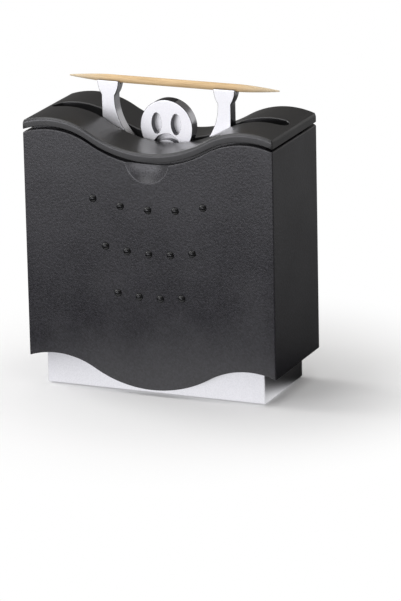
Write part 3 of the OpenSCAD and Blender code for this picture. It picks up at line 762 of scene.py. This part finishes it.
turns = rounding(FIGURE_EDGE, FINE)
front_edge, back_edge = [(i, FRONT_Y + d) for i, d in turns], [(i, BACK_Y - d) for i, d in reversed(turns)]
plate = along_y(back_loops[0], front_edge + back_edge)
cutters = []
for ring in front_loops[1:]:
    is_pocket = sum(z for x, z in ring) / len(ring) > POCKETS_ABOVE
    floor_y = FRONT_Y + FACE_DEPTH if is_pocket else BACK_Y + BEYOND
    flared = [(-POCKET_EDGE, FRONT_Y - BEYOND), (-POCKET_EDGE, FRONT_Y)]
    cutters.append(along_y(ring, flared + [(0, FRONT_Y + POCKET_EDGE), (0, floor_y)]))
groove_z = PICK_Z - (PICK_R + GROOVE_PLAY) * math.sqrt(2)
wedge = [(PICK_Y + side * GROOVE_UP, groove_z + abs(side) * GROOVE_UP) for side in (0, 1, -1)]
cutters.append(skin([[(x, y, z) for y, z in wedge] for x in (-GROOVE_HALF_L, GROOVE_HALF_L)], False))
dress(combine(plate, together(cutters), "DIFFERENCE"), "figure", "base", figure_metal)

# %% [markdown]
# ## Pieces that keep their CAD shape
# The base and everything inside are right as they are in the frame, so each is copied with rounded edges.
# Each row gives the width of its edges in millimetres and its material.

# %% The other pieces
PLAIN = {
    "base_shell": (0.25, base_metal),
    "base_plate": (0.3, inner_abs), "hopper": (0.25, inner_abs), "side_rails": (0.3, inner_abs),
    "rubber_feet": (0.3, rubber), "ballast_plate": (0.4, zinc_steel), "figure_mount": (0.2, milled_metal),
    "guide_bushes": (0.15, acetal), "guide_rods": (0.2, zinc_steel), "base_screws": (0.08, zinc_steel),
    "mount_screws": (0.08, zinc_steel), "figure_screws": (0.12, zinc_steel), "figure_nuts": (0.12, zinc_steel),
    "stop_washers": (0.1, zinc_steel), "stop_screws": (0.12, zinc_steel),
}
BODY_OF = {node: body for body, nodes in frame["record"]["behaviour"]["bodies"].items() for node in nodes}
for node, (width, material) in PLAIN.items():
    rounded_copy(node, BODY_OF[node], width, material)

# %% [markdown]
# ## Studio
# The holder stands on a white sweep, a wide plain floor that is white to the eye and takes the holder's soft
# shadow close by.

# %% Floor
FLOOR_HALF = 30.0
corners = [(x * FLOOR_HALF, y * FLOOR_HALF, 0) for x, y in ((-1, -1), (1, -1), (1, 1), (-1, 1))]
floor_mesh = bpy.data.meshes.new("floor")
floor_mesh.from_pydata(corners, [], [(0, 1, 2, 3)])
floor = bpy.data.objects.new("floor", floor_mesh)
bpy.context.scene.collection.objects.link(floor)
print("floor", 2 * FLOOR_HALF, "m square")

# %% [markdown]
# ## Levels over the floor
# The paper's look changes with the place on the floor. These helpers turn a place into a share or a level.

# %% Paper and level helpers
paper, tree, shader = new_material("studio_paper_white_painted_reflection")
place = add(tree, "ShaderNodeTexCoord").outputs["Object"]
away = add(tree, "ShaderNodeVectorMath", {"operation": "LENGTH"}, {0: place}).outputs["Value"]


def result(operation, first, second, clamp=False):
    """The sum or the product of two outputs."""
    made = add(tree, "ShaderNodeMath", {"operation": operation, "use_clamp": clamp}, {0: first, 1: second})
    return made.outputs["Value"]


def smooth_step(source, start, end, low=0.0):
    """A share that rises softly from low to 1 as the source goes from start to end."""
    settings = {"interpolation_type": "SMOOTHSTEP", "From Min": start, "From Max": end, "To Min": low}
    return add(tree, "ShaderNodeMapRange", settings, {"Value": source}).outputs["Result"]


def by_distance(stations):
    """A level that goes through the stations of (distance in metres, level)."""
    reach = stations[-1][0]
    share = add(tree, "ShaderNodeMath", {"operation": "DIVIDE", 1: reach}, {0: away}).outputs["Value"]
    ramp = add(tree, "ShaderNodeValToRGB", links={"Fac": share})
    points = ramp.color_ramp.elements
    while len(points) < len(stations):
        points.new(0.5)
    for point, (distance, level) in zip(points, stations):
        point.position, point.color = distance / reach, (level, level, level, 1.0)
    return ramp.outputs["Color"]


print(paper.name, "has", len(tree.nodes), "nodes so far")

# %% [markdown]
# ## Paper
# Near the holder the eye sees matt paper, which shows the shadow, and further out it sees plain white.
# What the pieces mirror is a painted reflection, laid out on its own as a glow that only reflections see:
# bright floor right at the foot, which the silver base needs, then a ring as dark as a black card, which keeps
# the black box black, and white again beyond it. The side turned away from the lamps mirrors a dimmer floor,
# painted shade.

# %% Paper, seen and mirrored
SHADOW_FADES, SHADOW_LIFT = (0.045, 0.10), 0.08  # metres from the middle, and the share of plain white inside
# Glow levels that only reflections see, by distance from the middle: a painted reflection of bright floor and
# of a dark ring, and a dimmer painted shade on the side turned away from the lamps.
PAINTED_REFLECTION = [(0.0, 0.77), (0.052, 0.77), (0.07, 0.0), (0.14, 0.0), (0.2, 0.15), (0.28, 0.22), (0.34, 0.8)]
PAINTED_SHADE_BEHIND = [(0.0, 0.0), (0.055, 0.0), (0.07, 0.10), (0.14, 0.16), (0.3, 0.25)]
BEHIND, BEHIND_RANGE = (0.8, 0.6, 0.0), (0.024, 0.036)  # a direction, and metres along it

shader.inputs["Base Color"].default_value = linear("#F8F8F8")
shader.inputs["Roughness"].default_value = 0.9
shader.inputs["Specular IOR Level"].default_value = 0.0
rays = add(tree, "ShaderNodeLightPath").outputs
far = smooth_step(away, *SHADOW_FADES, SHADOW_LIFT)
mirrored = result("ADD", rays["Is Glossy Ray"], rays["Is Transmission Ray"], True)
glowing = result("ADD", result("MULTIPLY", rays["Is Camera Ray"], far), mirrored, True)
# Painted reflection: reflections see the floor glow at these levels, dimmer as painted shade towards the side
# behind.
across = add(tree, "ShaderNodeVectorMath", {"operation": "DOT_PRODUCT", 1: BEHIND}, {0: place})
levels = {"Value": smooth_step(across.outputs["Value"], *BEHIND_RANGE),
          "To Min": by_distance(PAINTED_REFLECTION), "To Max": by_distance(PAINTED_SHADE_BEHIND)}
painted_reflection_level = add(tree, "ShaderNodeMapRange", links=levels).outputs["Result"]
strength = add(tree, "ShaderNodeMapRange", {"To Min": 1.0}, {"Value": mirrored, "To Max": painted_reflection_level})
glow = add(tree, "ShaderNodeEmission", {"Color": linear("#FFFFFF")}, {"Strength": strength.outputs["Result"]})
parts = {"Fac": glowing, 1: shader.outputs["BSDF"], 2: glow.outputs["Emission"]}
seen = add(tree, "ShaderNodeMixShader", links=parts)
connect(tree, tree.nodes["Material Output"], {"Surface": seen.outputs["Shader"]})
floor_mesh.materials.append(paper)
print(paper.name, "has", len(tree.nodes), "nodes")

# %% [markdown]
# ## Lamps
# A single lamp would do for the shape. Five are used, because each draws one part of the picture: the overhead
# one lights the lid and the hands, the left one the crests, the front one the thumb scoop and the rounded edge
# of the lid, a low bright card before the table, a little cooler, gives the black front and the face their
# sheen, and a card behind lights the rim of the head. The room around is dark grey, which is what draws dark
# bands on rounded black edges.

# %% Lamps and room light
room = bpy.data.worlds.new("room")
bpy.context.scene.world = room
room.use_nodes = True
room.node_tree.nodes["Background"].inputs["Color"].default_value = linear("#686664")
room.node_tree.nodes["Background"].inputs["Strength"].default_value = 1.0

LOOK_AT = Vector((0, 0, 0.05))
# name, turn from the front to the right and height, both in degrees, distance, width and height of the lamp
# in metres, watts and tint
LAMPS = [
    ("overhead_softbox", 0, 88, 0.6, 0.9, 0.9, 3.0, "#FFFFFF"),
    ("left_softbox", -90, 30, 0.7, 0.5, 0.5, 3.2, "#FFFFFF"),
    ("front_softbox", -25, 33, 0.7, 0.35, 0.25, 0.8, "#FCFCFF"),
    ("low_front_card", -15, 3.5, 0.9, 1.2, 0.2, 2.9, "#F8F7FF"),
    ("backdrop_card", 165, 9, 1.5, 1.4, 0.5, 0.9, "#FFFFFF"),
]
for name, azimuth, elevation, distance, wide, high, watts, tint in LAMPS:
    lamp = bpy.data.lights.new(name, "AREA")
    lamp.shape, lamp.size, lamp.size_y, lamp.energy = "RECTANGLE", wide, high, watts
    lamp.color = linear(tint)[:3]
    stand = bpy.data.objects.new(name, lamp)
    turn, lift = math.radians(azimuth), math.radians(elevation)
    towards = Vector((math.sin(turn) * math.cos(lift), -math.cos(turn) * math.cos(lift), math.sin(lift)))
    stand.location = LOOK_AT + distance * towards
    stand.rotation_euler = (LOOK_AT - stand.location).to_track_quat("-Z", "Y").to_euler()
    bpy.context.scene.collection.objects.link(stand)
    print(name, watts, "W at", [round(c, 2) for c in stand.location])
bpy.context.scene.view_settings.view_transform = "Standard"
